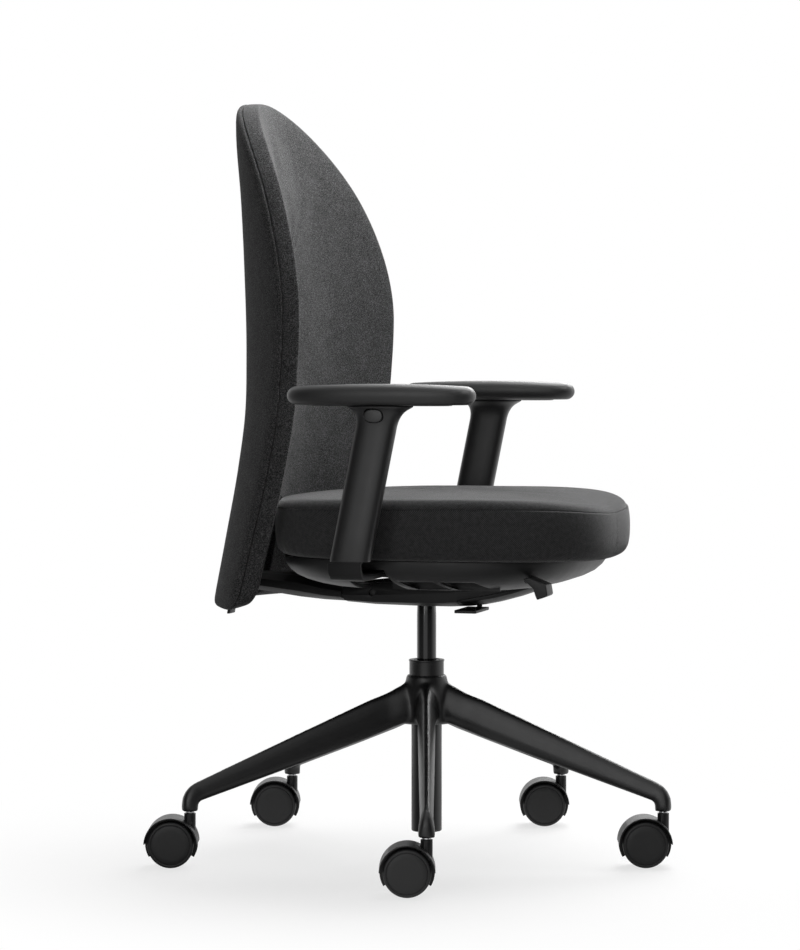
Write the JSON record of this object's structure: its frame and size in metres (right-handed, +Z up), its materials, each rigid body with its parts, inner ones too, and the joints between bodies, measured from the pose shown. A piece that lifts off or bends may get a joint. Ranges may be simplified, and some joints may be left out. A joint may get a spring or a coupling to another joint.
{
  "type": "office chair",
  "caption": "Swivel office chair with an arched upholstered back, padded seat, height-adjustable arms, synchronised tilt, gas lift and a star base on twin-wheel castors.",
  "frame": {"origin": "on the floor under the middle of the object's outline", "axes": "+Z up, the sitter faces +X, the left arm is on +Y"},
  "size_m": [0.7287, 0.7372, 1.0912],
  "materials": {
    "back_fabric": "melange woven wool-like",
    "seat_fabric": "fine twill",
    "pad_foam": "soft skinned foam",
    "powder_coat": "black satin powder coat",
    "black_steel": "gloss black",
    "bare_steel": "ground",
    "board_plastic": "moulded",
    "black_plastic": "fine-grained matte"
  },
  "bodies": {
    "base": {"star_base": "powder_coat", "column_tube": "black_steel", "guide_bush": "black_plastic", "thrust_bearing": "bare_steel"},
    "lift_rod": {"piston_rod": "bare_steel"},
    "mechanism": {"lift_column": "black_steel", "mechanism_housing": "black_plastic", "mechanism_nose": "black_plastic", "tilt_spring": "bare_steel", "spring_guide": "bare_steel", "back_pivot_shaft": "bare_steel", "seat_pivot_shaft": "bare_steel"},
    "seat": {"seat_plate": "black_steel", "seat_board": "board_plastic", "seat_shell": "black_plastic", "seat_cushion": "seat_fabric", "arm_bracket_left": "black_steel", "arm_bracket_right": "black_steel"},
    "height_lever": {"seat_height_lever": "black_plastic"},
    "tilt_lock": {"tilt_lock_lever": "black_plastic"},
    "carrier": {"back_carrier": "black_plastic"},
    "back": {"back_shell": "board_plastic", "back_front_cushion": "back_fabric", "back_rear_cover": "back_fabric"},
    "latch": {"back_latch": "black_plastic"},
    "arm_left": {"arm_sleeve_left": "black_plastic", "arm_plate_left": "black_plastic", "arm_pad_left": "pad_foam"},
    "button_left": {"arm_button_left": "black_plastic"},
    "arm_right": {"arm_sleeve_right": "black_plastic", "arm_plate_right": "black_plastic", "arm_pad_right": "pad_foam"},
    "button_right": {"arm_button_right": "black_plastic"},
    "castor_1": {"castor_stem_1": "bare_steel", "castor_hood_1": "black_plastic", "castor_axle_1": "bare_steel"},
    "wheel_1_left": {"castor_wheel_1_left": "black_plastic"},
    "wheel_1_right": {"castor_wheel_1_right": "black_plastic"},
    "castor_2": {"castor_stem_2": "bare_steel", "castor_hood_2": "black_plastic", "castor_axle_2": "bare_steel"},
    "wheel_2_left": {"castor_wheel_2_left": "black_plastic"},
    "wheel_2_right": {"castor_wheel_2_right": "black_plastic"},
    "castor_3": {"castor_stem_3": "bare_steel", "castor_hood_3": "black_plastic", "castor_axle_3": "bare_steel"},
    "wheel_3_left": {"castor_wheel_3_left": "black_plastic"},
    "wheel_3_right": {"castor_wheel_3_right": "black_plastic"},
    "castor_4": {"castor_stem_4": "bare_steel", "castor_hood_4": "black_plastic", "castor_axle_4": "bare_steel"},
    "wheel_4_left": {"castor_wheel_4_left": "black_plastic"},
    "wheel_4_right": {"castor_wheel_4_right": "black_plastic"},
    "castor_5": {"castor_stem_5": "bare_steel", "castor_hood_5": "black_plastic", "castor_axle_5": "bare_steel"},
    "wheel_5_left": {"castor_wheel_5_left": "black_plastic"},
    "wheel_5_right": {"castor_wheel_5_right": "black_plastic"}
  },
  "joints": [
    {"name": "swivel", "type": "hinge", "parent": "base", "child": "lift_rod", "pos_m": [-0.0054, 0.0107, 0.034], "axis": [0, 0, 1], "continuous": true},
    {"name": "seat_height", "type": "slide", "parent": "lift_rod", "child": "mechanism", "axis": [0, 0, 1], "range_m": [-0.062, 0.05]},
    {"name": "back_tilt", "type": "hinge", "parent": "mechanism", "child": "carrier", "pos_m": [-0.0654, 0.0107, 0.383], "axis": [0, -1, 0], "range_deg": [0, 18], "stiffness_Nm_per_rad": 70, "springref_deg": -20.05},
    {"name": "seat_tilt", "type": "hinge", "parent": "mechanism", "child": "seat", "pos_m": [0.1146, 0.0107, 0.403], "axis": [0, -1, 0], "range_deg": [0, 6]},
    {"name": "back_height", "type": "slide", "parent": "carrier", "child": "back", "axis": [0.1857, 0, 0.9826], "range_m": [0, 0.05]},
    {"name": "latch_pull", "type": "hinge", "parent": "back", "child": "latch", "pos_m": [-0.29924, 0.0107, 0.375], "axis": [0, -1, 0], "range_deg": [0, 4], "stiffness_Nm_per_rad": 0.4, "springref_deg": -2.86},
    {"name": "height_lever_lift", "type": "hinge", "parent": "seat", "child": "height_lever", "pos_m": [0.1946, -0.0393, 0.4131], "axis": [0, -1, 0], "range_deg": [0, 12], "stiffness_Nm_per_rad": 1.2, "springref_deg": -14.32},
    {"name": "tilt_lock_swing", "type": "hinge", "parent": "mechanism", "child": "tilt_lock", "pos_m": [0.0796, -0.0093, 0.3612], "axis": [0, 0, 1], "range_deg": [-15, 15]},
    {"name": "arm_height_left", "type": "slide", "parent": "seat", "child": "arm_left", "axis": [0.1994, 0, 0.9799], "range_m": [0, 0.08]},
    {"name": "arm_button_left", "type": "slide", "parent": "arm_left", "child": "button_left", "axis": [0, -1, 0], "range_m": [0, 0.003], "stiffness_N_per_m": 800, "springref_m": -0.002},
    {"name": "arm_height_right", "type": "slide", "parent": "seat", "child": "arm_right", "axis": [0.1994, 0, 0.9799], "range_m": [0, 0.08]},
    {"name": "arm_button_right", "type": "slide", "parent": "arm_right", "child": "button_right", "axis": [0, 1, 0], "range_m": [0, 0.003], "stiffness_N_per_m": 800, "springref_m": -0.002},
    {"name": "castor_swivel_1", "type": "hinge", "parent": "base", "child": "castor_1", "pos_m": [0.0928, -0.32732, 0.078], "axis": [0, 0, 1], "continuous": true},
    {"name": "wheel_spin_1_left", "type": "hinge", "parent": "castor_1", "child": "wheel_1_left", "pos_m": [0.06784, -0.33458, 0.0325], "axis": [0.279, -0.9603, 0], "continuous": true},
    {"name": "wheel_spin_1_right", "type": "hinge", "parent": "castor_1", "child": "wheel_1_right", "pos_m": [0.06784, -0.33458, 0.0325], "axis": [0.279, -0.9603, 0], "continuous": true},
    {"name": "castor_swivel_2", "type": "hinge", "parent": "base", "child": "castor_2", "pos_m": [0.34643, -0.00036, 0.078], "axis": [0, 0, 1], "continuous": true},
    {"name": "wheel_spin_2_left", "type": "hinge", "parent": "castor_2", "child": "wheel_2_left", "pos_m": [0.32146, -0.00761, 0.0325], "axis": [0.279, -0.9603, 0], "continuous": true},
    {"name": "wheel_spin_2_right", "type": "hinge", "parent": "castor_2", "child": "wheel_2_right", "pos_m": [0.32146, -0.00761, 0.0325], "axis": [0.279, -0.9603, 0], "continuous": true},
    {"name": "castor_swivel_3", "type": "hinge", "parent": "base", "child": "castor_3", "pos_m": [0.11384, 0.34189, 0.078], "axis": [0, 0, 1], "continuous": true},
    {"name": "wheel_spin_3_left", "type": "hinge", "parent": "castor_3", "child": "wheel_3_left", "pos_m": [0.08887, 0.33464, 0.0325], "axis": [0.279, -0.9603, 0], "continuous": true},
    {"name": "wheel_spin_3_right", "type": "hinge", "parent": "castor_3", "child": "wheel_3_right", "pos_m": [0.08887, 0.33464, 0.0325], "axis": [0.279, -0.9603, 0], "continuous": true},
    {"name": "castor_swivel_4", "type": "hinge", "parent": "base", "child": "castor_4", "pos_m": [-0.28353, 0.22644, 0.078], "axis": [0, 0, 1], "continuous": true},
    {"name": "wheel_spin_4_left", "type": "hinge", "parent": "castor_4", "child": "wheel_4_left", "pos_m": [-0.3085, 0.21919, 0.0325], "axis": [0.279, -0.9603, 0], "continuous": true},
    {"name": "wheel_spin_4_right", "type": "hinge", "parent": "castor_4", "child": "wheel_4_right", "pos_m": [-0.3085, 0.21919, 0.0325], "axis": [0.279, -0.9603, 0], "continuous": true},
    {"name": "castor_swivel_5", "type": "hinge", "parent": "base", "child": "castor_5", "pos_m": [-0.29653, -0.18715, 0.078], "axis": [0, 0, 1], "continuous": true},
    {"name": "wheel_spin_5_left", "type": "hinge", "parent": "castor_5", "child": "wheel_5_left", "pos_m": [-0.3215, -0.19441, 0.0325], "axis": [0.279, -0.9603, 0], "continuous": true},
    {"name": "wheel_spin_5_right", "type": "hinge", "parent": "castor_5", "child": "wheel_5_right", "pos_m": [-0.3215, -0.19441, 0.0325], "axis": [0.279, -0.9603, 0], "continuous": true}
  ],
  "couplings": [
    {"joint": "seat_tilt", "follows": "back_tilt", "ratio": 0.33333}
  ]
}
